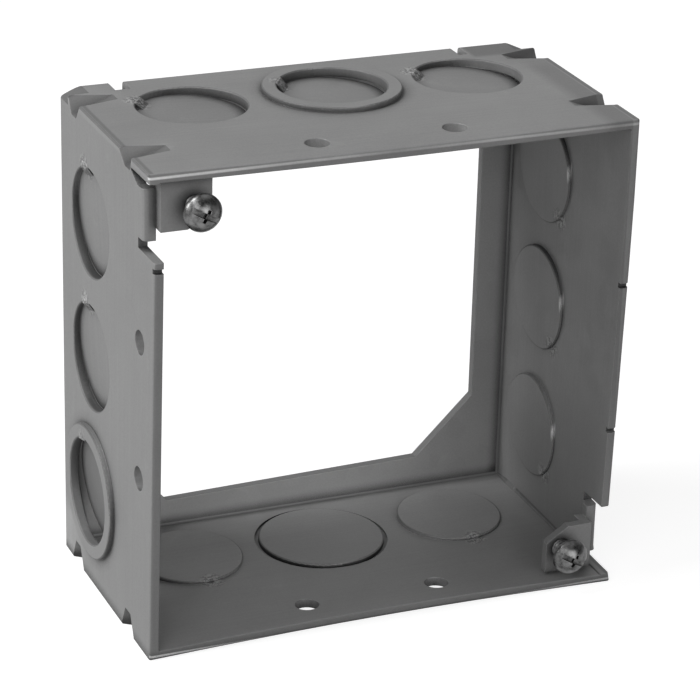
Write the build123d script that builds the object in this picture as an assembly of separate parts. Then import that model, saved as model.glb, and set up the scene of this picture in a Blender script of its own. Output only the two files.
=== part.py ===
from build123d import *
import math
import os

# Square extension ring for a wall box: one folded and welded sheet steel body
# with two cover screws. Millimetres, +Z up, open front towards -Y.

# Body
side = 101.6             # outside width and height, 4 in
depth = 53.98            # front rim to back face, 2-1/8 in
sheet = 1.9              # steel thickness
fold_outer = 0.4         # outside radius of the four corner folds
fold_inner = 0.4         # inside radius of the same folds
flange_outer = 1.0       # outside radius of the fold along the back edge
flange_inner = 0.6       # inside radius of the same fold
flange_reach = 9.0       # outside face to the free edge of the back flange
flange_slack = 1.3       # the lower flange narrows by this towards the left
gusset_leg = 13.0        # 45 degree fill in each inside corner of the flange
rim_roll = 0.7           # rounding of the front rim, outside
rim_break = 0.2          # rounding of the front rim, inside
clip_flat = 4.4          # clipped back corners of the top panel, along the panel
clip_side = 2.0          # the same, down the side panels
clip_run = 5.6           # the same, forwards from the back face

# Knockouts, three on each side
slug_d = 22.2            # half inch trade size
ring_d = 28.2            # three quarter inch trade size, round the centre slug
slug_press = {           # plain slugs: pressed in at the tie, and opposite it
    "left": (1.0, 2.2),
    "top": (1.1, 2.5),
    "right": (0.5, 1.2),
    "bottom": (0.6, 1.5),
}
slug_fit = 0.12          # a slug's edge runs on into the sheet round it
ring_push = 1.1          # outer ring of a double knockout, pressed outwards
double_press = {         # centre slugs of the double knockouts, in the same way
    "left": (0.8, 3.2),
    "top": (0.6, 1.6),
}
wide_push = 0.5          # wide slug in the bottom panel, pressed inwards
groove_width = 0.8       # sheared groove round the wide slug, inside the ring
groove_depth = 0.6
slug_row = 35.4          # front rim to the knockout centres
plain_pitch = 28.6       # between two plain knockouts
double_pitch = 29.6      # between a plain knockout and a double or a wide one
slug_roll = 0.3          # rounding of the pressed edges
slug_wall = 0.5          # band of sheet round a knockout
tie_width = 4.0          # uncut tie that holds a slug
tie_run = 1.8            # length of the ramp at a tie
tie_skin = 0.04          # the ramp lies this far under the faces it joins
tie_turns = {"left": -75.0, "top": 57.0, "right": -130.0, "bottom": 175.0}  # from the back, degrees

# Small fixing holes along the front rim, two each in the left, top and bottom panels
nail_d = 5.0
nail_pitch = 28.6
nail_row = 7.4           # front rim to the hole centres

# Nicks in the front edge, two in the right panel and one in the left
nick_pitch = 31.7        # between the two
nick_drop = 19.5         # top outside face to the single one
nick_width = 1.0
nick_depth = 1.0

# Pressed darts that stiffen the corner folds
dart_rows = (13.1, 44.6)  # front rim to the dart centres
dart_mouth = 7.0         # width at the outside face
dart_floor = 3.0         # width of the flat bottom
dart_skin = 0.6          # stretched metal under the dart
dart_taper = 0.12        # the ends of a dart shrink to this share of its reach
dart_top_flat = 8.6      # reach of an upper dart along the top panel
dart_top_side = 3.2      # the same, down a side panel
dart_bottom_flat = 3.0   # reach of a lower dart along the bottom panel
dart_bottom_side = 4.8   # the same, up a side panel

# Relief slits in the back edge of the top panel
slit_length = 5.4        # back face to the blind end
slit_left = 11.5         # left outside face to the centre of the left slit
slit_left_width = 3.2
slit_right = 16.0        # right outside face to the centre of the right slit
slit_right_width = 2.0

# Cover screw ears, turned in from the left and right panels
ear_recess = 3.0         # front rim to the face of the ear
ear_joggle = 2.6         # the ear's root lies this much further back
ear_length = 13.8        # outside face to the free edge
ear_bend_outer = 1.1     # outside radius of the ear's fold
ear_bend_inner = 0.3     # inside radius of the same fold
ear_root_reach = 3.6     # side outside face to the step in the ear
ear_near = 2.9           # outside top or bottom face to the ear's near edge
ear_far = 12.9           # the same to the ear's far edge
ear_root_near = 4.9      # the same to the near edge of the root
ear_root_far = 15.4      # the same to the far edge of the root
ear_cut_x = 4.8          # clipped free corner, along the ear
ear_cut_z = 3.2          # clipped free corner, across the ear
notch_near = 2.1         # outside top or bottom face to the notch beside the fold
notch_far = 17.8         # outside top or bottom face to the far end of the notch
notch_slope = 0.3        # the far end of the notch leans this much towards the fold
notch_depth = 8.6        # front rim to the bottom of the notch
notch_slot = 11.4        # front rim to the sharp end of the slot beside the fold
screw_x = 10.4           # side outside face to the screw
screw_z = 8.2            # top or bottom outside face to the screw

# Cover screws, number 8
thread_d = 4.1
thread_fit = 0.05        # running clearance round the thread
screw_length = 7.94      # under the head, 5/16 in
screw_lead = 0.6         # chamfer at the tip
screw_gap = 3.9          # ear face to the underside of the head, backed out
head_d = 7.6
head_height = 2.9
head_edge = 0.5          # straight rim under the dome
slot_width = 1.1
slot_depth = 1.1
cross_length = 4.4
cross_depth = 1.7
screw_turn = 28.0        # how far the slot leans from level

# Holes in the back gussets that pass the screws of the box behind
box_hole_d = 4.8

# How far a cutting tool runs past a face
clear = 1.0

# Worked out from the sizes above
half = side / 2
slug_r = slug_d / 2
ring_r = ring_d / 2
inner_side = side - 2 * sheet
head_r = head_d / 2
dome = head_height - head_edge
crown = (head_r * head_r + dome * dome) / (2 * dome)
lip = crown - math.sqrt(crown * crown - slot_width * slot_width / 2)
proud = screw_gap + head_height - lip - ear_recess
centre_y = (depth - proud) / 2


def block(width, length, fold, bend):
    # closed-back block, front face at Y 0: rounded corners, rounded back edges
    front = Plane((0, 0, 0), x_dir=(1, 0, 0), z_dir=(0, 1, 0))
    square = extrude(front * RectangleRounded(width, width, fold), length)
    reach = length + bend
    plan_face = RectangleRounded(width, 2 * reach, bend)
    plan = extrude(Pos(0, length - reach, -width / 2) * plan_face, width)
    upright = plan.rotate(Axis.Y, 90)
    return square & plan & upright


def panel_plane(name):
    # X runs along the panel, Y into the ring, Z out of the panel's face
    mid = Vector(0, 0, half)
    run, out = {
        "top": ((1, 0, 0), (0, 0, 1)),
        "right": ((0, 0, -1), (1, 0, 0)),
        "bottom": ((-1, 0, 0), (0, 0, -1)),
        "left": ((0, 0, 1), (-1, 0, 0)),
    }[name]
    return Plane(mid + Vector(*out) * half, x_dir=run, z_dir=out)


def disc(radius, low, high):
    # short cylinder between two heights
    return Pos(0, 0, (low + high) / 2) * Cylinder(radius, high - low)


def turned(points, rolled):
    # solid of revolution about Z from a half section, some of its corners rounded
    section = make_face(Polyline(*points, close=True))
    corners = [v for v in section.vertices() if any(near(v, points[i]) for i in rolled)]
    section = fillet(corners, slug_roll)
    return revolve(Plane.XZ * section, Axis.Z)


def near(vertex, point):
    return math.hypot(vertex.X - point[0], vertex.Y - point[1]) < 1e-6


def tie(top, bottom, turn):
    # uncut metal that slopes from the sheet's face down to the slug's
    head = slug_r - slug_roll
    rim = slug_r + slug_wall
    foot = slug_r - tie_run
    high = top - tie_skin
    low = bottom - tie_skin
    sunk = bottom - sheet / 4
    section = Polyline((rim, high), (head, high), (foot, low), (foot, sunk), (rim, sunk), close=True)
    ramp = extrude(Plane.XZ * make_face(section), tie_width / 2, both=True)
    return ramp.rotate(Axis.Z, 90 + turn)


def leaning_slug(near_push, far_push, turn):
    # disc that hangs from its tie: pressed in a little there and further at the opposite side
    slug = disc(slug_r + slug_fit, -sheet, 0)
    lower = slug.edges().filter_by(GeomType.CIRCLE).sort_by(Axis.Z)[0]
    slug = fillet(lower, slug_roll)
    lean = math.degrees(math.atan2(far_push - near_push, slug_d))
    slug = Pos(0, 0, -(near_push + far_push) / 2) * slug.rotate(Axis.X, lean)
    return slug.rotate(Axis.Z, turn)


def plain_knockout(name):
    # a slug pressed part of the way through the sheet
    turn = tie_turns[name]
    near_push, far_push = slug_press[name]
    rim = slug_r + slug_wall
    band = turned([(slug_r, -sheet), (rim, -sheet), (rim, 0), (slug_r, 0)], (3,))
    return rim, band + leaning_slug(near_push, far_push, turn) + tie(0, -near_push, turn)


def double_knockout(name):
    # the outer ring stands out of the sheet and the centre slug is pressed in
    turn = tie_turns[name]
    near_push, far_push = double_press[name]
    rim = ring_r + slug_wall
    low = ring_push - sheet
    section = [(slug_r, low), (ring_r, low), (ring_r, -sheet), (rim, -sheet),
               (rim, 0), (ring_r, 0), (ring_r, ring_push), (slug_r, ring_push)]
    band = turned(section, (2, 6, 7))
    return rim, band + leaning_slug(near_push, far_push, turn) + tie(ring_push, -near_push, turn)


def wide_knockout(name):
    # a slug of the outer ring's size, eased in, with a groove round its inside face
    rim = ring_r + slug_wall
    slug = ring_r - groove_width
    roof = groove_depth - sheet
    section = [(0, -wide_push - sheet), (slug, -wide_push - sheet), (slug, roof), (ring_r, roof),
               (ring_r, -sheet), (rim, -sheet), (rim, 0), (slug, 0), (slug, -wide_push), (0, -wide_push)]
    return rim, turned(section, (1, 7))


knockout_kinds = {"plain": plain_knockout, "double": double_knockout, "wide": wide_knockout}

knockout_rows = {
    "left": ((-double_pitch, "double"), (0, "plain"), (plain_pitch, "plain")),
    "top": ((-double_pitch, "plain"), (0, "double"), (double_pitch, "plain")),
    "right": ((-plain_pitch, "plain"), (0, "plain"), (double_pitch, "plain")),
    "bottom": ((-double_pitch, "plain"), (0, "wide"), (double_pitch, "plain")),
}


def add_knockouts(body):
    for name, row in knockout_rows.items():
        face = panel_plane(name)
        for along, kind in row:
            rim, plug = knockout_kinds[kind](name)
            spot = face * Pos(along, slug_row, 0)
            body = body - spot * disc(rim, -sheet - clear, clear)
            body = body + spot * plug
    return body


def add_nail_holes(body):
    for name in ("left", "top", "bottom"):
        face = panel_plane(name)
        for along in (-nail_pitch / 2, nail_pitch / 2):
            tool = disc(nail_d / 2, -sheet - clear, clear)
            body = body - face * Pos(along, nail_row, 0) * tool
    return body


def edge_nicks():
    places = (("right", -nick_pitch / 2), ("right", nick_pitch / 2), ("left", half - nick_drop))
    spots = [panel_plane(name) * Pos(along, 0, -sheet / 2) for name, along in places]
    return [spot * Box(nick_width, 2 * nick_depth, sheet + 2 * clear) for spot in spots]


def corner_wedge(corner_x, corner_z, flat_reach, side_reach, y):
    # triangle across a corner, its third point just outside the fold
    into_x = -math.copysign(1, corner_x)
    into_z = math.copysign(1, half - corner_z)
    points = [
        (corner_x - into_x * clear, y, corner_z - into_z * clear),
        (corner_x + into_x * flat_reach, y, corner_z),
        (corner_x, y, corner_z + into_z * side_reach),
    ]
    return Wire.make_polygon([Vector(*p) for p in points], close=True)


def dart(corner_x, corner_z, row, grow):
    # pressed wedge: flat floor, walls that slope up to the fold
    upper = corner_z > half
    flat_reach = dart_top_flat if upper else dart_bottom_flat
    side_reach = dart_top_side if upper else dart_bottom_side
    slant = math.hypot(flat_reach, side_reach)
    flat = flat_reach + grow * slant / side_reach
    upright = side_reach + grow * slant / flat_reach
    floor = dart_floor / 2 + grow / 2
    mouth = dart_mouth / 2 + grow
    tip_flat = flat * dart_taper
    tip_upright = upright * dart_taper
    wide = [corner_wedge(corner_x, corner_z, flat, upright, row + s * floor) for s in (-1, 1)]
    ends = [corner_wedge(corner_x, corner_z, tip_flat, tip_upright, row + s * mouth) for s in (-1, 1)]
    middle = Solid.make_loft(wide, ruled=True)
    front = Solid.make_loft([ends[0], wide[0]], ruled=True)
    back = Solid.make_loft([wide[1], ends[1]], ruled=True)
    return Part() + middle + front + back


def add_darts(body, outside):
    for corner_x in (-half, half):
        for corner_z in (0, side):
            for row in dart_rows:
                body = body + (dart(corner_x, corner_z, row, dart_skin) & outside)
                body = body - dart(corner_x, corner_z, row, 0)
    return body


def back_opening():
    # see-through opening: a square with its four corners clipped, drawn from above downwards
    reach = half - flange_reach
    clip = reach - gusset_leg
    outline = [(-clip, -reach), (clip, -reach), (reach, -clip), (reach, clip),
               (clip, reach), (-clip, reach + flange_slack), (-reach, clip), (-reach, -clip)]
    face = make_face(Polyline(*outline, close=True))
    back = Plane((0, depth - sheet - clear, half), x_dir=(1, 0, 0), z_dir=(0, 1, 0))
    return extrude(back * face, sheet + 2 * clear)


def slits():
    tools = []
    tall = flange_outer + clear
    long = slit_length + clear
    for x, width in ((-half + slit_left, slit_left_width), (half - slit_right, slit_right_width)):
        spot = Pos(x, depth - slit_length + long / 2, side)
        tools.append(spot * Box(width, long, 2 * tall))
    return tools


def corner_clips():
    # flats across the two upper corner folds, next to the back edge
    tools = []
    back = Plane((0, depth - clip_run, 0), x_dir=(1, 0, 0), z_dir=(0, -1, 0))
    for hand in (-1, 1):
        outline = Polyline((hand * (half - clip_flat), side), (hand * (half + clear), side + clear),
                           (hand * half, side - clip_side), close=True)
        tools.append(extrude(back * make_face(outline), -(clip_run + clear)))
    return tools


def half_turn(shape):
    # the lower right ear repeats the upper left one, half a turn round the ring
    return Pos(0, 0, side) * shape.rotate(Axis.Y, 180)


def ear_notch():
    # gap in the front edge of the left panel that the ear was turned out of
    outline = Polyline((-clear, notch_near), (notch_slot, notch_near), (notch_depth, ear_root_near),
                       (notch_depth, notch_far - notch_slope), (0, notch_far), (-clear, notch_far), close=True)
    face = Plane((-half - clear, 0, side), x_dir=(0, 1, 0), z_dir=(1, 0, 0))
    return extrude(face * make_face(outline).mirror(Plane.XZ), sheet + 2 * clear)


def ear():
    # strip folded in from the left panel, joggled forwards, one corner clipped, with the screw hole
    bend = ear_bend_outer
    hollow = ear_bend_inner
    root = notch_depth + clear
    x0 = -half
    x1 = x0 + ear_length
    step = x0 + ear_root_reach
    y0 = ear_recess
    y1 = ear_recess + ear_joggle
    path = Line((x0, root), (x0, y1 + bend))
    path += RadiusArc((x0, y1 + bend), (x0 + bend, y1), -bend)
    path += Polyline((x0 + bend, y1), (step, y1), (step, y0), (x1, y0), (x1, y0 + sheet),
                     (step + sheet, y0 + sheet), (step + sheet, y1 + sheet),
                     (x0 + sheet + hollow, y1 + sheet))
    path += RadiusArc((x0 + sheet + hollow, y1 + sheet), (x0 + sheet, y1 + sheet + hollow), hollow)
    path += Polyline((x0 + sheet, y1 + sheet + hollow), (x0 + sheet, root), (x0, root))
    low = side - ear_far
    foot = side - ear_root_far
    strip = extrude(Pos(0, 0, foot) * make_face(path), ear_root_far - ear_near)
    wide = ear_length - ear_root_reach + clear
    tall = ear_root_far - ear_far + clear
    long = ear_joggle + sheet + 2 * clear
    strip = strip - Pos(step + wide / 2, y0 - clear + long / 2, low - tall / 2) * Box(wide, long, tall)
    slim = ear_root_near - ear_near + clear
    back = root - y0 + 2 * clear
    shoulder = Box(2 * ear_root_reach, back, slim)
    strip = strip - Pos(x0, y0 - clear + back / 2, side - ear_root_near + slim / 2) * shoulder
    corner = Polyline((x1 - ear_cut_x, low), (x1, low + ear_cut_z), (x1 + clear, low - clear), close=True)
    face = Plane((0, y0 - clear, 0), x_dir=(1, 0, 0), z_dir=(0, -1, 0))
    strip = strip - extrude(face * make_face(corner), -(sheet + 2 * clear))
    hole = Cylinder(thread_d / 2 + thread_fit, sheet + 2 * clear).rotate(Axis.X, 90)
    return strip - Pos(x0 + screw_x, y0 + sheet / 2, side - screw_z) * hole


def box_hole():
    # lines up with an ear of the same kind on a box turned by a quarter
    tool = Cylinder(box_hole_d / 2, sheet + 2 * clear).rotate(Axis.X, 90)
    return Pos(half - screw_z, depth - sheet / 2, side - screw_x) * tool


def ring_body():
    outside = block(side, depth, fold_outer, flange_outer)
    inside = Pos(0, -clear, 0) * block(inner_side, depth - sheet + clear, fold_inner, flange_inner)
    outside = Pos(0, 0, half) * outside
    inside = Pos(0, 0, half) * inside
    body = outside - inside
    front = body.faces().sort_by(Axis.Y)[0]
    body = fillet(front.outer_wire().edges(), rim_roll)
    front = body.faces().sort_by(Axis.Y)[0]
    body = fillet(front.inner_wires()[0].edges(), rim_break)
    body = body - back_opening()
    body = add_darts(body, outside)
    for tool in slits() + corner_clips():
        body = body - tool
    body = body - ear_notch() - half_turn(ear_notch())
    body = body + ear() + half_turn(ear())
    body = add_knockouts(body)
    body = add_nail_holes(body)
    for tool in edge_nicks():
        body = body - tool
    body = body - box_hole() - half_turn(box_hole())
    return body


def cover_screw():
    # axis along +Y, underside of the head at the origin, tip pointing into the ring
    lean = math.asin(head_r / crown) / 2
    knee = (crown * math.sin(lean), crown - head_height - crown * math.cos(lean))
    outline = Polyline((0, 0), (head_r, 0), (head_r, -head_edge))
    outline += ThreePointArc((head_r, -head_edge), knee, (0, -head_height))
    outline += Line((0, -head_height), (0, 0))
    head = revolve(make_face(outline), Axis.Y)
    slot = Pos(0, -head_height + slot_depth / 2, 0) * Box(head_d + clear, slot_depth, slot_width)
    cross = Pos(0, -head_height + cross_depth / 2, 0) * Box(slot_width, cross_depth, cross_length)
    shank = Cylinder(thread_d / 2, screw_length).rotate(Axis.X, 90)
    shank = Pos(0, screw_length / 2, 0) * shank
    tip = shank.edges().filter_by(GeomType.CIRCLE).sort_by(Axis.Y)[-1]
    shank = chamfer(tip, screw_lead)
    return head - slot - cross + shank


screw = cover_screw().rotate(Axis.Y, screw_turn)
upper_screw = Pos(-half + screw_x, ear_recess - screw_gap, side - screw_z) * screw
lower_screw = half_turn(upper_screw)

pieces = {
    "ring_body": ring_body(),
    "cover_screw_upper": upper_screw,
    "cover_screw_lower": lower_screw,
}

os.makedirs("parts", exist_ok=True)
for name, piece in pieces.items():
    placed = Pos(ring_push / 2, -centre_y, 0) * piece
    export_step(placed, "parts/" + name + ".step")
    print(name, len(placed.solids()), round(placed.volume, 1))
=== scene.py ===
import math

import bpy
from mathutils import Matrix, Vector


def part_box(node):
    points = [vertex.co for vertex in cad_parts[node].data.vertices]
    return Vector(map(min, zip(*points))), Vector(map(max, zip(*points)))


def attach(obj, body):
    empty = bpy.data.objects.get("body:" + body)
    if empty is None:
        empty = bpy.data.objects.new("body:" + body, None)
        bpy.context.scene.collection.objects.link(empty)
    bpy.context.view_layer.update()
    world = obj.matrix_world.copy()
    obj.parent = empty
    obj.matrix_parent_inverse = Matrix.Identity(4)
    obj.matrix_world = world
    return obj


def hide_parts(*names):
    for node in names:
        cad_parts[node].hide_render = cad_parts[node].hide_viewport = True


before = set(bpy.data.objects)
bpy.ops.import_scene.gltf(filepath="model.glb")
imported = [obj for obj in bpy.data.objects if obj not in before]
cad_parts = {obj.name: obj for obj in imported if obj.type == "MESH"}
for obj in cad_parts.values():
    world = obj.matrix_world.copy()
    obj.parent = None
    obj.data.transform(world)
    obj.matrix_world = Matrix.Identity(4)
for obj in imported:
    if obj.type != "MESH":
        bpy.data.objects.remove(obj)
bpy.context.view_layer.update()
mm = 0.001
print("frame loaded:", sorted(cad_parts))


# small helpers

def clearSelection():
    if bpy.context.object and bpy.context.object.mode != "OBJECT":
        bpy.ops.object.mode_set(mode="OBJECT")
    bpy.ops.object.select_all(action="DESELECT")


def pick(piece):
    clearSelection()
    piece.select_set(True)
    bpy.context.view_layer.objects.active = piece


def applyAll(piece):
    pick(piece)
    for modifier in list(piece.modifiers):
        bpy.ops.object.modifier_apply(modifier=modifier.name)


def settle(piece):
    # place, turn and size go into the mesh
    pick(piece)
    bpy.ops.object.transform_apply(location=True, rotation=True, scale=True)


def dress(piece, material):
    piece.data.materials.clear()
    piece.data.materials.append(material)


# material helpers

def startMaterial(name):
    material = bpy.data.materials.new(name)
    material.use_nodes = True
    tree = material.node_tree
    tree.nodes.clear()
    shader = tree.nodes.new("ShaderNodeBsdfPrincipled")
    out = tree.nodes.new("ShaderNodeOutputMaterial")
    tree.links.new(shader.outputs["BSDF"], out.inputs["Surface"])
    place = tree.nodes.new("ShaderNodeTexCoord").outputs["Object"]
    return material, tree, shader, place


def stretched(tree, place, scale):
    mapping = tree.nodes.new("ShaderNodeMapping")
    mapping.inputs["Scale"].default_value = scale
    tree.links.new(place, mapping.inputs["Vector"])
    return mapping.outputs["Vector"]


def noise(tree, place, scale, detail, rough, twist=0.0):
    node = tree.nodes.new("ShaderNodeTexNoise")
    node.inputs["Scale"].default_value = scale
    node.inputs["Detail"].default_value = detail
    node.inputs["Roughness"].default_value = rough
    node.inputs["Distortion"].default_value = twist
    tree.links.new(place, node.inputs["Vector"])
    return node.outputs["Fac"]


def spread(tree, value, low, high, toLow, toHigh):
    node = tree.nodes.new("ShaderNodeMapRange")
    node.clamp = True
    for name, number in (("From Min", low), ("From Max", high), ("To Min", toLow), ("To Max", toHigh)):
        node.inputs[name].default_value = number
    tree.links.new(value, node.inputs["Value"])
    return node.outputs["Result"]


def sums(tree, kind, first, second):
    node = tree.nodes.new("ShaderNodeMath")
    node.operation = kind
    for socket, value in zip(node.inputs, (first, second)):
        if isinstance(value, (int, float)):
            socket.default_value = value
        else:
            tree.links.new(value, socket)
    return node.outputs["Value"]


def together(tree, kind, parts):
    total = parts[0]
    for part in parts[1:]:
        total = sums(tree, kind, total, part)
    return total


def plain(tree, value):
    # without its sign
    return sums(tree, "ABSOLUTE", value, 0.0)


def vectors(tree, kind, first, second=None):
    node = tree.nodes.new("ShaderNodeVectorMath")
    node.operation = kind
    for socket, value in zip(node.inputs, (first, second)):
        if isinstance(value, bpy.types.NodeSocket):
            tree.links.new(value, socket)
        elif value is not None:
            socket.default_value = value
    return node.outputs


def axesOf(tree, vector):
    node = tree.nodes.new("ShaderNodeSeparateXYZ")
    tree.links.new(vector, node.inputs["Vector"])
    return node.outputs


def faceTurn(tree):
    # which way the bare face looks
    return tree.nodes.new("ShaderNodeNewGeometry").outputs["True Normal"]


def blended(tree, share, first, second):
    # first where the share is 0, second where it is 1
    node = tree.nodes.new("ShaderNodeMix")
    for name, value in (("Factor", share), ("A", first), ("B", second)):
        tree.links.new(value, node.inputs[name])
    return node.outputs["Result"]


def greys(tree, value, tint):
    # a grey level spread into a colour with a slight tint
    node = tree.nodes.new("ShaderNodeCombineColor")
    for name, share in zip(("Red", "Green", "Blue"), tint):
        tree.links.new(sums(tree, "MULTIPLY", value, share), node.inputs[name])
    return node.outputs["Color"]


def bumps(tree, height, strength, distance, under):
    node = tree.nodes.new("ShaderNodeBump")
    node.inputs["Strength"].default_value = strength
    node.inputs["Distance"].default_value = distance
    tree.links.new(height, node.inputs["Height"])
    tree.links.new(under, node.inputs["Normal"])
    return node.outputs["Normal"]


def facing(tree, first, second):
    # 1 where two directions agree, less where they part
    return vectors(tree, "DOT_PRODUCT", first, second)["Value"]


def rounded(tree, radius):
    # the surface's direction with its edges eased over a small radius
    node = tree.nodes.new("ShaderNodeBevel")
    node.samples = 6
    node.inputs["Radius"].default_value = radius
    return node.outputs["Normal"]


def edgeWear(tree, eased):
    # 0 on flats, rising to 1 along edges
    flat = tree.nodes.new("ShaderNodeNewGeometry").outputs["Normal"]
    return spread(tree, facing(tree, eased, flat), 0.995, 0.86, 0.0, 1.0)


def crevices(tree, reach):
    # 1 in the open, falling to 0 in deep corners
    node = tree.nodes.new("ShaderNodeAmbientOcclusion")
    node.samples = 6
    node.inputs["Distance"].default_value = reach
    return node.outputs["AO"]


# the ring's layout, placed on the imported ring

ringLow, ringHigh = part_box("ring_body")

layout = {
    "side": 101.6 * mm,
    "sheet": 1.9 * mm,
    "slugRow": 35.4 * mm,     # front rim to the knockout centres
    "slugRadius": 11.1 * mm,
    "pitches": {              # along each panel, from its middle
        "left": (-29.6 * mm, 0, 28.6 * mm),
        "top": (-29.6 * mm, 0, 29.6 * mm),
        "right": (-28.6 * mm, 0, 29.6 * mm),
        "bottom": (-29.6 * mm, 29.6 * mm),
    },
    "ties": {"left": -75, "top": 57, "right": -130, "bottom": 175},  # from the back, degrees
}

half = layout["side"] / 2
middle = Vector((ringHigh[0] - half, ringLow[1], ringLow[2] + half))  # of the front rim

faces = {                     # outside faces: the axis they stand across, and where
    "left": ("X", middle.x - half),
    "right": ("X", middle.x + half),
    "back": ("Y", ringHigh[1]),
    "bottom": ("Z", middle.z - half),
    "top": ("Z", middle.z + half),
}

panels = {                    # which way each panel runs, and which way it faces
    "left": (Vector((0, 0, 1)), Vector((-1, 0, 0))),
    "top": (Vector((1, 0, 0)), Vector((0, 0, 1))),
    "right": (Vector((0, 0, -1)), Vector((1, 0, 0))),
    "bottom": (Vector((-1, 0, 0)), Vector((0, 0, -1))),
}


def tiePlaces():
    places = []
    for name, (run, out) in panels.items():
        turn = math.radians(layout["ties"][name])
        for along in layout["pitches"][name]:
            centre = middle + out * (half - layout["sheet"] / 2) + run * along
            reach = Vector((0, math.cos(turn), 0)) - run * math.sin(turn)
            places.append(centre + Vector((0, layout["slugRow"], 0)) + reach * layout["slugRadius"])
    return places


# galvanised sheet: clouded zinc grey, faint spangle, rolling streaks, rubbed edges; painted shade in the
# grooves, recesses and on front faces, painted highlights along the front edges and knockouts

sheetFinish = {
    "grey": 0.30,             # linear level of the zinc
    "tint": (1.0, 1.0, 1.0),
    "clouds": 26.0,           # patches, per metre
    "spangle": 240.0,         # crystals, per metre
    "grain": 2600.0,          # pickled grain, per metre
    "scuffs": 90.0,           # rubbed marks, per metre
    "streaks": (30.0, 1500.0, 30.0),  # rolling streaks along each axis, per metre
    "metal": 0.25,
    "rough": (0.52, 0.60),
    "wearGloss": 0.1,         # rubbed edges are this much smoother
    "edge": 0.3 * mm,         # width of the rubbed edges
    "groove": 3.0 * mm,       # how far the painted shade reaches out of a corner
    "shadeInside": ((0.3, 0.9), (0.8, 1.0)),     # open share of a corner, and its level
    "shadeOutside": ((0.55, 0.95), (0.12, 1.0)),
    "torn": 1300.0,           # broken metal at the ties, per metre
    "tornReach": 3.2 * mm,
    "tornLevel": (0.5, 2.0),
    "ears": (10 * mm, 8 * mm),           # front rim to behind the ears, where the painted shade on the front faces ends
    "earShare": 0.75,                    # the ears get less painted shade than the front edges
    "earStart": (1 * mm, 2 * mm),        # front rim to where their share holds
    "burnishSheen": (0.55 * mm, 0.35 * mm),   # burnished band of the sheared front edge with a painted highlight: from the face, half width
    "burnishSheenDeep": (0.6 * mm, 0.25 * mm),  # front rim to the band's end
    "burnishSheenTall": (3.6 * mm, 3.0 * mm),   # a panel's face to the band's end
    "burnishSheenClouds": (0.8, 1.15),
    "burnishLevel": (3.2, 1.9),          # at the left corner, and away from it
    "burnishSheenFade": 40 * mm,
    "burnishSheenBottom": 2.4,                # stronger along the bottom panel
    "burnishSheenRise": 9 * mm,               # from there up to the plain level at mid height
    "foldLine": (0.9 * mm, 0.6 * mm),    # painted shade and highlight lines along the corner folds: from the edge, half width
    "glint": (2.8 * mm, 0.6 * mm, 2.6 * mm),  # painted highlight: above a knockout's centre, half width, half height
    "pressed": "pressed",                # face attribute of the faces that get painted shade
    "zones": {                # painted light and shade: ramps in mm from the ring's faces
        "stain": (("right", -15.0, -14.0), ("back", -8.5, -6.8), ("top", -2.4, -0.8)),
        "dull": (("right", -8, -5), ("right", -1.5, -1.7), ("back", -8, -20), ("bottom", 15, 60)),
        "pale": (("back", -16, -4), ("bottom", 13, 9), ("bottom", 1.0, 1.6), ("right", -12, -60)),
    },
    "marks": {                # level without and with each mark
        "crystal": (0.965, 1.035),
        "scuffs": (1.0, 1.07),
        "wear": (1.0, 1.2),
        # painted shade on the faces that look forwards
        "front": (1.0, 0.6),
        "foldDark": (1.0, 0.66),
        "foldLight": (1.0, 1.12),
        "stain": (1.0, 0.64),    # painted shade on the back right corner of the top
        # painted shade on darts, folds, knockout walls and the back opening's edges
        "pressed": (1.0, 0.62),
        "dull": (1.0, 0.74),     # painted shade on the upper right inside
        "pale": (1.0, 1.35),     # painted light on the lower flange
        "glint": (1.0, 2.8),
    },
    "texture": {"streaks": (0.97, 1.03), "grain": (0.95, 1.05)},  # lowest and highest level
    "bumps": {"grain": (0.15, 0.04 * mm), "streaks": (0.12, 0.04 * mm), "torn": (0.5, 0.2 * mm)},
}


def tornMetal(tree, place):
    # 1 at a tie, falling to 0 around it
    reach = sheetFinish["tornReach"]
    gaps = [vectors(tree, "DISTANCE", place, spot)["Value"] for spot in tiePlaces()]
    return together(tree, "MAXIMUM", [spread(tree, gap, reach, 0.4 * reach, 0.0, 1.0) for gap in gaps])


def edgeOffsets(tree, axes):
    # distance in from the side panels' faces, from the front rim, and from the top and bottom faces
    across = plain(tree, sums(tree, "SUBTRACT", axes["X"], middle.x))
    height = plain(tree, sums(tree, "SUBTRACT", axes["Z"], middle.z))
    behind = sums(tree, "SUBTRACT", axes["Y"], middle.y)
    return sums(tree, "SUBTRACT", half, across), behind, sums(tree, "SUBTRACT", half, height)


def stripe(tree, value, centre, reach):
    # 1 along the middle of a band, 0 outside it
    off = plain(tree, sums(tree, "SUBTRACT", value, centre))
    return spread(tree, off, reach, 0.4 * reach, 0.0, 1.0)


def frontFaces(tree, behind):
    # painted shade on the faces that look forwards: 1 on the front edges, a little less on the ears
    look = sheetFinish
    ahead = spread(tree, axesOf(tree, faceTurn(tree))["Y"], -0.5, -0.8, 0.0, 1.0)
    near = spread(tree, behind, *look["ears"], 0.0, 1.0)
    share = spread(tree, behind, *look["earStart"], 1.0, look["earShare"])
    return together(tree, "MULTIPLY", [ahead, near, share])


def shearedBand(tree, behind, below):
    # burnished band with a painted highlight along the front edges of the top and bottom panels
    look = sheetFinish
    start, reach = look["burnishSheen"]
    near = spread(tree, behind, *look["burnishSheenDeep"], 0.0, 1.0)
    edge = spread(tree, below, *look["burnishSheenTall"], 0.0, 1.0)
    return together(tree, "MULTIPLY", [near, edge, stripe(tree, below, start + reach, reach)])


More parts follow.
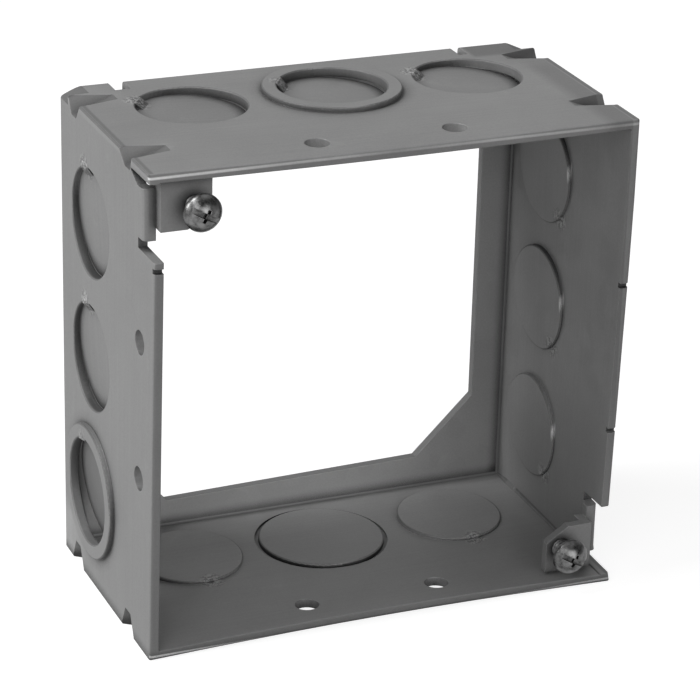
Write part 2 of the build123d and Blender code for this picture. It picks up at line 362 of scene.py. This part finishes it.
def burnishLevel(tree, axes, clouds):
    # how bright the painted highlight on the burnished band is: patchy, brightest at the left corner and
    # along the bottom
    look = sheetFinish
    left = faces["left"][1]
    patchy = spread(tree, clouds, 0.35, 0.6, *look["burnishSheenClouds"])
    along = spread(tree, axes["X"], left, left + look["burnishSheenFade"], *look["burnishLevel"])
    low = spread(tree, axes["Z"], middle.z - look["burnishSheenRise"], middle.z, look["burnishSheenBottom"], 1.0)
    return together(tree, "MULTIPLY", [patchy, along, low])


def foldLines(tree, beside, below):
    # painted shade line on the top and bottom beside the folds, painted highlight line on the sides
    turn = axesOf(tree, faceTurn(tree))
    flat = spread(tree, plain(tree, turn["Z"]), 0.9, 0.97, 0.0, 1.0)
    upright = spread(tree, plain(tree, turn["X"]), 0.9, 0.97, 0.0, 1.0)
    dark = sums(tree, "MULTIPLY", flat, stripe(tree, beside, *sheetFinish["foldLine"]))
    return dark, sums(tree, "MULTIPLY", upright, stripe(tree, below, *sheetFinish["foldLine"]))


def pressedMetal(tree):
    # 1 on the ring's faces marked for painted shade
    node = tree.nodes.new("ShaderNodeAttribute")
    node.attribute_name = sheetFinish["pressed"]
    return node.outputs["Fac"]


def zone(tree, axes, name):
    # 1 in a part of the ring, 0 outside it
    ramps = []
    for face, start, end in sheetFinish["zones"][name]:
        axis, place = faces[face]
        ramps.append(spread(tree, axes[axis], place + start * mm, place + end * mm, 0.0, 1.0))
    return together(tree, "MULTIPLY", ramps)


def glints(tree, place):
    # painted highlight on the front edge of each right knockout, inside the ring
    high, wide, tall = sheetFinish["glint"]
    run, out = panels["right"]
    front = layout["slugRow"] - math.sqrt(layout["slugRadius"] ** 2 - high ** 2)
    spots = []
    for along in layout["pitches"]["right"]:
        spot = middle + out * (half - layout["sheet"]) + run * (along - high) + Vector((0, front, 0))
        offset = vectors(tree, "SUBTRACT", place, spot)["Vector"]
        away = vectors(tree, "LENGTH", stretched(tree, offset, (1 / tall, 1 / wide, 1 / tall)))["Value"]
        spots.append(spread(tree, away, 1.0, 0.4, 0.0, 1.0))
    return together(tree, "MAXIMUM", spots)


def outerSide(tree, place):
    # 0 on the faces that look into the ring, 1 on the rest
    turn = vectors(tree, "MULTIPLY", faceTurn(tree), (1, 0, 1))["Vector"]
    offset = vectors(tree, "SUBTRACT", place, middle)["Vector"]
    return spread(tree, facing(tree, turn, offset), -0.02, -0.004, 0.0, 1.0)


def grime(tree, place):
    # painted shade in the corners: dark outside, less so inside
    corner = crevices(tree, sheetFinish["groove"])
    sides = []
    for name in ("shadeInside", "shadeOutside"):
        openShare, level = sheetFinish[name]
        sides.append(spread(tree, corner, *openShare, *level))
    return blended(tree, outerSide(tree, place), *sides)


def galvanisedSheet():
    look = sheetFinish
    material, tree, shader, place = startMaterial("galvanisedSheet")
    clouds = noise(tree, place, look["clouds"], 5.0, 0.55, 0.4)
    crystals = tree.nodes.new("ShaderNodeTexVoronoi")
    crystals.inputs["Scale"].default_value = look["spangle"]
    tree.links.new(place, crystals.inputs["Vector"])
    spangle = tree.nodes.new("ShaderNodeRGBToBW")
    tree.links.new(crystals.outputs["Color"], spangle.inputs["Color"])
    eased = rounded(tree, look["edge"])
    axes = axesOf(tree, place)
    beside, behind, below = edgeOffsets(tree, axes)
    foldDark, foldLight = foldLines(tree, beside, below)
    texture = {
        "streaks": noise(tree, stretched(tree, place, look["streaks"]), 1.0, 3.0, 0.6),
        "grain": noise(tree, place, look["grain"], 2.0, 0.6),
    }
    marks = {
        "crystal": spangle.outputs["Val"],
        "scuffs": spread(tree, noise(tree, place, look["scuffs"], 6.0, 0.7, 1.2), 0.60, 0.72, 0.0, 1.0),
        "wear": edgeWear(tree, eased),
        "front": frontFaces(tree, behind),
        "foldDark": foldDark,
        "foldLight": foldLight,
        "pressed": pressedMetal(tree),
        "glint": glints(tree, place),
    }
    for name in look["zones"]:
        marks[name] = zone(tree, axes, name)
    level = spread(tree, clouds, 0.3, 0.7, 0.92, 1.07)
    for name, (low, high) in look["marks"].items():
        level = sums(tree, "MULTIPLY", level, spread(tree, marks[name], 0.0, 1.0, low, high))
    for name, (low, high) in look["texture"].items():
        level = sums(tree, "MULTIPLY", level, spread(tree, texture[name], 0.3, 0.7, low, high))
    # painted shade in the corners
    level = sums(tree, "MULTIPLY", level, grime(tree, place))
    torn = tornMetal(tree, place)
    specks = spread(tree, noise(tree, place, look["torn"], 2.0, 0.8), 0.44, 0.60, *look["tornLevel"])
    level = blended(tree, torn, level, sums(tree, "MULTIPLY", level, specks))
    # painted highlight on the burnished band of the front edges
    bright = sums(tree, "MULTIPLY", level, burnishLevel(tree, axes, clouds))
    level = blended(tree, shearedBand(tree, behind, below), level, bright)
    level = sums(tree, "MULTIPLY", level, look["grey"])
    tree.links.new(greys(tree, level, look["tint"]), shader.inputs["Base Color"])
    shader.inputs["Metallic"].default_value = look["metal"]
    rough = spread(tree, sums(tree, "ADD", clouds, marks["crystal"]), 0.6, 1.4, *look["rough"])
    gloss = spread(tree, marks["wear"], 0.0, 1.0, 0.0, look["wearGloss"])
    tree.links.new(sums(tree, "SUBTRACT", rough, gloss), shader.inputs["Roughness"])
    texture["torn"] = sums(tree, "MULTIPLY", specks, torn)
    normal = eased
    for name, (strength, distance) in look["bumps"].items():
        normal = bumps(tree, texture[name], strength, distance, normal)
    tree.links.new(normal, shader.inputs["Normal"])
    return material


# zinc plated screws, dull with bright rubbed edges, painted shade in the slot, cross and thread

screwFinish = {
    "grey": 0.17,
    "tint": (1.0, 1.0, 1.0),
    "metal": 0.9,
    "rough": (0.22, 0.42),
    "patches": 700.0,         # per metre
    "patchLevel": (0.5, 1.6),
    "wearLevel": 1.6,
    "slotShadeLevel": 0.35,
    "grain": 3400.0,          # per metre
    "grainBump": (0.2, 0.05 * mm),
    "edge": 0.15 * mm,
    "groove": 1.2 * mm,
}


def platedScrew():
    look = screwFinish
    material, tree, shader, place = startMaterial("platedScrew")
    patches = noise(tree, place, look["patches"], 4.0, 0.6)
    grain = noise(tree, place, look["grain"], 2.0, 0.6)
    eased = rounded(tree, look["edge"])
    patchy = spread(tree, patches, 0.35, 0.65, *look["patchLevel"])
    rubbed = spread(tree, edgeWear(tree, eased), 0.0, 1.0, 1.0, look["wearLevel"])
    # painted shade in the slot, cross and thread
    dirty = spread(tree, crevices(tree, look["groove"]), 0.3, 0.95, look["slotShadeLevel"], 1.0)
    level = together(tree, "MULTIPLY", [patchy, look["grey"], rubbed, dirty])
    tree.links.new(greys(tree, level, look["tint"]), shader.inputs["Base Color"])
    shader.inputs["Metallic"].default_value = look["metal"]
    tree.links.new(spread(tree, patches, 0.3, 0.7, *look["rough"]), shader.inputs["Roughness"])
    tree.links.new(bumps(tree, grain, *look["grainBump"], eased), shader.inputs["Normal"])
    return material


sheetMetal = galvanisedSheet()
screwMetal = platedScrew()
print("materials made")


# ring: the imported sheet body, merged so that its folds shade smoothly, and bent a little

ringLook = {
    "merge": 0.002 * mm,      # joins the loose triangles
    "crease": 32.0,           # sharper edges stay sharp, degrees
    "slant": (0.04, 0.12),    # how far a face with painted shade leans out of the panels' directions
    "wallRows": (18 * mm, 50 * mm),  # the knockout walls lie between these distances from the rim
    "wallDeep": 2.6 * mm,     # and this near to a panel's outside face
    "wallLean": 0.6,          # how much a wall may look out of its panel
    "edgeLean": 0.3,          # how much an edge of the opening may look backwards
    "flangeDeep": 4.0 * mm,   # the fold along the back lies this near to the back face
    "flangeEdge": 7.0 * mm,   # edges further in from the sides than this are the opening's
    "across": (-40, -30, -20, -10, 0, 10, 20, 30, 40),  # mm from the middle: extra points to bend at
    "inward": (4, 8, 13, 18, 23),                       # mm behind the front rim: the same
    "upward": (-48, -45, -40, -34, -20, 0, 20, 34, 40, 45, 48),  # mm from the middle: the same
    "bisect": 1e-7,           # points this near to a cut count as on it
    "lean": {"left": 1.4 * mm, "right": 1.3 * mm},      # the side panels are drawn in beside their ears
    "leanRise": 6.0 * mm,     # from the ear's corner of the ring to the full lean
    "leanPeak": 17.0 * mm,    # where it starts to fall
    "leanEnd": {"left": 130.0 * mm, "right": 80.0 * mm},  # where it has died away
    "leanDeep": 38.0 * mm,    # front rim to where it has died away
    "bow": {"top": 0.4 * mm, "bottom": 1.05 * mm},      # the top and bottom are drawn in halfway along
    "bowDeep": 23.0 * mm,
    "earDeep": 12.0 * mm,     # in front of this only the panel moves and the ear stays
    "earThick": (2.2 * mm, 3.6 * mm),
    "slugThick": (6.0 * mm, 7.0 * mm),
}


def ramp(value, start, end):
    # 0 before the start, 1 past the end
    return min(1.0, max(0.0, (value - start) / (end - start)))


def addPoints(piece):
    # rows of points across the panels, so that they can bend
    look = ringLook
    rows = [((x * mm, 0, 0), (1, 0, 0)) for x in look["across"]]
    rows += [((0, y * mm, 0), (0, 1, 0)) for y in look["inward"]]
    rows += [((0, 0, z * mm), (0, 0, 1)) for z in look["upward"]]
    pick(piece)
    bpy.ops.object.mode_set(mode="EDIT")
    for offset, across in rows:
        bpy.ops.mesh.select_all(action="SELECT")
        bpy.ops.mesh.bisect(plane_co=middle + Vector(offset), plane_no=across, threshold=look["bisect"])
    bpy.ops.object.mode_set(mode="OBJECT")


def knockoutWall(face, offset):
    # true on a face that stands up from a panel and looks at the middle of a knockout
    for name, (run, out) in panels.items():
        off = abs(offset.dot(out) - half)
        if off < ringLook["wallDeep"] and abs(face.normal.dot(out)) < ringLook["wallLean"]:
            near = min(layout["pitches"][name], key=lambda along: abs(offset.dot(run) - along))
            return (offset - run * near - Vector((0, layout["slugRow"], 0))).dot(face.normal) < 0
    return False


def markPressed(piece):
    # marks the faces for painted shade: slanted faces of the darts and corner folds, knockout walls, the
    # back fold and the opening's edges
    look = ringLook
    inside = half - look["flangeEdge"]
    start, end = look["wallRows"]
    mark = piece.data.attributes.new(sheetFinish["pressed"], "FLOAT", "FACE")
    for face, spot in zip(piece.data.polygons, mark.data):
        x, y, z = (abs(part) for part in face.normal)
        offset = face.center - middle
        slant = x * z
        if start < offset.y < end and knockoutWall(face, offset):
            slant = 1.0
        if ringHigh[1] - face.center.y < look["flangeDeep"]:
            slant = max(slant, x * y, y * z)
            if max(abs(offset.x), abs(offset.z)) < inside and y < look["edgeLean"]:
                slant = 1.0
        spot.value = ramp(slant, *look["slant"])


def bendPanels(piece):
    # the pressing has drawn the front edges of all four panels inwards
    look = ringLook
    for vertex in piece.data.vertices:
        offset = vertex.co - middle
        thick = look["earThick"] if offset.y < look["earDeep"] else look["slugThick"]
        side, hand = ("left", 1) if offset.x < 0 else ("right", -1)
        along = half - hand * offset.z
        share = min(ramp(along, 0, look["leanRise"]), ramp(along, look["leanEnd"][side], look["leanPeak"]))
        share *= ramp(offset.y, look["leanDeep"], 0) * ramp(half - abs(offset.x), *reversed(thick))
        vertex.co.x += hand * share * look["lean"][side]
        level, hand = ("bottom", 1) if offset.z < 0 else ("top", -1)
        share = math.sin(math.pi * ramp(offset.x, -half, half))
        share *= ramp(offset.y, look["bowDeep"], 0) * ramp(half - abs(offset.z), *reversed(thick))
        vertex.co.z += hand * share * look["bow"][level]


def sheetRing():
    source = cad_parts["ring_body"]
    piece = source.copy()
    piece.data = source.data.copy()
    piece.name = "sheetRing"
    for key in list(piece.keys()):
        del piece[key]
    piece.parent = None
    bpy.context.scene.collection.objects.link(piece)
    pick(piece)
    bpy.ops.mesh.customdata_custom_splitnormals_clear()
    bpy.ops.object.mode_set(mode="EDIT")
    bpy.ops.mesh.select_all(action="SELECT")
    bpy.ops.mesh.remove_doubles(threshold=ringLook["merge"])
    bpy.ops.object.mode_set(mode="OBJECT")
    addPoints(piece)
    markPressed(piece)
    bendPanels(piece)
    bpy.ops.object.shade_smooth_by_angle(angle=math.radians(ringLook["crease"]))
    even = piece.modifiers.new("even", "WEIGHTED_NORMAL")
    even.keep_sharp = True
    even.weight = 100
    applyAll(piece)
    dress(piece, sheetMetal)
    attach(piece, "ring")
    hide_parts("ring_body")
    return piece


ring = sheetRing()
print("ring faces:", len(ring.data.polygons))


# cover screws: domed head with slot and cross, cut thread

screwLook = {
    "headHeight": 2.9 * mm,
    "headEdge": 0.5 * mm,     # straight rim under the dome
    "length": 7.94 * mm,      # under the head
    "threadRadius": 2.05 * mm,
    "rootRadius": 1.62 * mm,
    "pitch": 0.794 * mm,      # 32 turns to the inch
    "tooth": (0.40, 0.52, 0.92),  # crest's start and end and the root's start, shares of the pitch
    "overlap": 0.4 * mm,      # thread runs this far into the head
    "lead": 0.6 * mm,         # bevel at the tip
    "slot": (1.1 * mm, 1.1 * mm),            # width and depth
    "cross": (4.4 * mm, 1.1 * mm, 1.7 * mm),  # length, width and depth
    "crossFoot": 0.45,        # the cross narrows to this share at its bottom
    "turn": 28.0,             # how far the slot leans from level
    "soften": 0.09 * mm,
    "softenAbove": 50.0,      # edges sharper than this, degrees
    "around": 64,
    "domeSteps": 12,
    "threadSteps": 32,
}


def lathe(name, profile, around):
    # one vertex drawn out along the profile, then spun about Y unless around is 0
    clearSelection()
    bpy.ops.mesh.primitive_plane_add(size=mm)
    piece = bpy.context.object
    piece.name = name
    bpy.ops.object.mode_set(mode="EDIT")
    bpy.ops.mesh.merge(type="CENTER")
    bpy.ops.transform.translate(value=(*profile[0], 0))
    for (r0, y0), (r1, y1) in zip(profile, profile[1:]):
        bpy.ops.mesh.extrude_vertices_move(TRANSFORM_OT_translate={"value": (r1 - r0, y1 - y0, 0)})
    bpy.ops.mesh.select_all(action="SELECT")
    if around:
        bpy.ops.mesh.spin(steps=around, angle=2 * math.pi, center=(0, 0, 0), axis=(0, 1, 0))
        closeUp()
    bpy.ops.object.mode_set(mode="OBJECT")
    return piece


def closeUp():
    bpy.ops.mesh.select_all(action="SELECT")
    bpy.ops.mesh.remove_doubles(threshold=ringLook["merge"])
    bpy.ops.mesh.normals_make_consistent(inside=False)


def combine(piece, tool, kind):
    cut = piece.modifiers.new("cut", "BOOLEAN")
    cut.operation = kind
    cut.solver = "EXACT"
    cut.object = tool
    applyAll(piece)
    pick(tool)
    bpy.ops.object.delete()


def slotTool(long, wide, deep, foot):
    # block that opens towards the front of the head and narrows to its bottom
    look = screwLook
    tall = deep + look["headHeight"]
    clearSelection()
    bpy.ops.mesh.primitive_cube_add(size=1, location=(0, -look["headHeight"] + deep - tall / 2, 0),
                                    scale=(long, tall, wide))
    tool = bpy.context.object
    settle(tool)
    bpy.ops.object.mode_set(mode="EDIT")
    bpy.ops.mesh.select_all(action="DESELECT")
    bpy.ops.object.mode_set(mode="OBJECT")
    for face in tool.data.polygons:
        face.select = face.normal.y > 0.9
    bpy.ops.object.mode_set(mode="EDIT")
    bpy.ops.transform.resize(value=(foot, 1, foot), center_override=(0, 0, 0))
    bpy.ops.object.mode_set(mode="OBJECT")
    return tool


def domedHead(radius):
    look = screwLook
    dome = look["headHeight"] - look["headEdge"]
    crown = (radius ** 2 + dome ** 2) / (2 * dome)
    lean = math.asin(radius / crown)
    profile = [(0, 0), (radius - look["soften"], 0), (radius, -look["soften"]), (radius, -look["headEdge"])]
    for step in range(1, look["domeSteps"] + 1):
        angle = lean * (1 - step / look["domeSteps"])
        profile.append((crown * math.sin(angle), crown * (1 - math.cos(angle)) - look["headHeight"]))
    head = lathe("head", profile, look["around"])
    slotWide, slotDeep = look["slot"]
    combine(head, slotTool(4 * radius, slotWide, slotDeep, 1.0), "DIFFERENCE")
    crossLong, crossWide, crossDeep = look["cross"]
    combine(head, slotTool(crossWide, crossLong, crossDeep, look["crossFoot"]), "DIFFERENCE")
    ease = head.modifiers.new("ease", "BEVEL")
    ease.width = look["soften"]
    ease.segments = 2
    ease.limit_method = "ANGLE"
    ease.angle_limit = math.radians(look["softenAbove"])
    applyAll(head)
    return head


def threadedShank():
    look = screwLook
    root, crest, pitch = look["rootRadius"], look["threadRadius"], look["pitch"]
    rise, fall, foot = (share * pitch for share in look["tooth"])
    tooth = [(root, 0), (crest, rise), (crest, fall), (root, foot), (root, pitch)]
    turns = math.ceil(look["length"] / pitch) + 3
    shank = lathe("thread", [(r, y - 2 * pitch) for r, y in tooth], 0)
    wind = shank.modifiers.new("wind", "SCREW")
    wind.axis = "Y"
    wind.screw_offset = pitch
    wind.iterations = turns
    wind.steps = look["threadSteps"]
    wind.render_steps = look["threadSteps"]
    wind.use_merge_vertices = True
    wind.merge_threshold = ringLook["merge"]
    applyAll(shank)
    bpy.ops.object.mode_set(mode="EDIT")
    for height, ahead in ((-look["overlap"], False), (look["length"], True)):
        bpy.ops.mesh.select_all(action="SELECT")
        bpy.ops.mesh.bisect(plane_co=(0, height, 0), plane_no=(0, 1, 0), use_fill=True,
                            threshold=ringLook["bisect"], clear_outer=ahead, clear_inner=not ahead)
    closeUp()
    bpy.ops.object.mode_set(mode="OBJECT")
    wide = 2 * crest
    tip = crest - look["lead"]
    sleeve = [(0, -1 * mm), (wide, -1 * mm), (wide, look["length"] - (wide - tip)), (tip, look["length"]),
              (0, look["length"])]
    combine(shank, lathe("sleeve", sleeve, look["around"]), "INTERSECT")
    return shank


def coverScrew(radius):
    screw = domedHead(radius)
    combine(screw, threadedShank(), "UNION")
    pick(screw)
    bpy.ops.object.mode_set(mode="EDIT")
    closeUp()
    bpy.ops.object.mode_set(mode="OBJECT")
    bpy.ops.object.shade_smooth_by_angle(angle=math.radians(ringLook["crease"]))
    screw.rotation_euler = (0, math.radians(screwLook["turn"]), 0)
    settle(screw)
    dress(screw, screwMetal)
    return screw


def placeScrew(screw, name, node, body):
    low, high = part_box(node)
    piece = screw.copy()
    piece.data = screw.data.copy()
    piece.name = name
    bpy.context.scene.collection.objects.link(piece)
    piece.location = ((low[0] + high[0]) / 2, high[1] - screwLook["length"], (low[2] + high[2]) / 2)
    settle(piece)
    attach(piece, body)
    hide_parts(node)


headLow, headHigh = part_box("cover_screw_upper")
pattern = coverScrew((headHigh[0] - headLow[0]) / 2)
placeScrew(pattern, "upperScrew", "cover_screw_upper", "upper_screw")
placeScrew(pattern, "lowerScrew", "cover_screw_lower", "lower_screw")
print("screw faces:", len(pattern.data.polygons))
pick(pattern)
bpy.ops.object.delete()


# floor, lamps and camera

stageLook = {
    "floorSize": 24.0,
    "floorDrop": 0.05 * mm,  # keeps it clear of the ring's underside
    "floorGrey": 0.40,
    "floorLift": 0.86,      # white added for the eye and for reflections
    "world": 0.02,          # soft light from all round
    "backdrop": (-0.30, 0.85, 0.43),  # where the white backdrop stands
    "backdropEdge": (-0.2, 0.5),      # and how softly it ends
    "roomDark": 0.12,       # the room in front of it, in reflections
    "mirrored": 0.6,        # how much of the white the metal reflects
    "lampAim": (0, 0, 0.05),
}

lamps = {
    "keyLeft": {"at": (-1.30, 0.12, 0.70), "size": 0.45, "watts": 6.6},
    "overhead": {"at": (-0.70, 0.15, 1.25), "size": 0.6, "watts": 7.6},
    "cornerFill": {"at": (-0.80, -0.80, 0.90), "size": 0.9, "watts": 4.4},
    "frontFill": {"at": (-0.50, -1.40, 0.60), "size": 1.2, "watts": 2.4},
    "rightFill": {"at": (0.25, -1.50, 0.45), "size": 1.2, "watts": 8.4},
}

shot = {
    "at": (-0.21932, -0.520657, 0.291728),
    "azimuth": 22.999,      # turned right of the +Y direction, degrees
    "elevation": 23.203,    # looking down
    "roll": 1.592,
    "lens": 155.795,
}


def whiteForCamera(tree):
    # 1 where the eye, or a mirror's or glass's view, meets the surface
    path = tree.nodes.new("ShaderNodeLightPath")
    mirrored = sums(tree, "MULTIPLY", path.outputs["Is Glossy Ray"], stageLook["mirrored"])
    seen = sums(tree, "MAXIMUM", path.outputs["Is Camera Ray"], mirrored)
    return sums(tree, "MAXIMUM", seen, path.outputs["Is Transmission Ray"])


def paleFloor():
    clearSelection()
    bpy.ops.mesh.primitive_plane_add(size=stageLook["floorSize"], location=(0, 0, -stageLook["floorDrop"]))
    floor = bpy.context.object
    floor.name = "floor"
    settle(floor)
    material, tree, shader, _ = startMaterial("paleFloor")
    shader.inputs["Base Color"].default_value = (*[stageLook["floorGrey"]] * 3, 1)
    shader.inputs["Roughness"].default_value = 1.0
    shader.inputs["Specular IOR Level"].default_value = 0.0
    shader.inputs["Emission Color"].default_value = (1, 1, 1, 1)
    lift = sums(tree, "MULTIPLY", whiteForCamera(tree), stageLook["floorLift"])
    tree.links.new(lift, shader.inputs["Emission Strength"])
    dress(floor, material)


def studioWorld():
    world = bpy.data.worlds.new("studioWorld")
    bpy.context.scene.world = world
    world.use_nodes = True
    tree = world.node_tree
    back = tree.nodes["Background"]
    back.inputs["Color"].default_value = (1, 1, 1, 1)
    sight = tree.nodes.new("ShaderNodeTexCoord").outputs["Generated"]
    toward = facing(tree, sight, Vector(stageLook["backdrop"]).normalized())
    share = stageLook["mirrored"]
    screen = spread(tree, toward, *stageLook["backdropEdge"], share * stageLook["roomDark"], share)
    path = tree.nodes.new("ShaderNodeLightPath")
    eye = sums(tree, "MAXIMUM", path.outputs["Is Camera Ray"], path.outputs["Is Transmission Ray"])
    mirrored = sums(tree, "MULTIPLY", path.outputs["Is Glossy Ray"], screen)
    level = sums(tree, "MAXIMUM", sums(tree, "MAXIMUM", eye, mirrored), stageLook["world"])
    tree.links.new(level, back.inputs["Strength"])


def addLamp(name, look):
    data = bpy.data.lights.new(name, "AREA")
    data.shape = "DISK"
    data.size = look["size"]
    data.energy = look["watts"]
    lamp = bpy.data.objects.new(name, data)
    bpy.context.scene.collection.objects.link(lamp)
    lamp.location = look["at"]
    aim = Vector(stageLook["lampAim"]) - Vector(look["at"])
    lamp.rotation_euler = aim.to_track_quat("-Z", "Y").to_euler()


def addCamera():
    data = bpy.data.cameras.new("camera")
    data.lens = shot["lens"]
    data.sensor_width = 36.0
    data.clip_start = 0.01
    camera = bpy.data.objects.new("camera", data)
    bpy.context.scene.collection.objects.link(camera)
    turn = Matrix.Rotation(-math.radians(shot["azimuth"]), 3, "Z")
    tilt = Matrix.Rotation(math.radians(90 - shot["elevation"]), 3, "X")
    roll = Matrix.Rotation(math.radians(shot["roll"]), 3, "Z")
    camera.matrix_world = Matrix.Translation(shot["at"]) @ (turn @ tilt @ roll).to_4x4()
    bpy.context.scene.camera = camera


paleFloor()
studioWorld()
for name, look in lamps.items():
    addLamp(name, look)
addCamera()
bpy.context.scene.view_settings.view_transform = "Standard"
print("stage set")
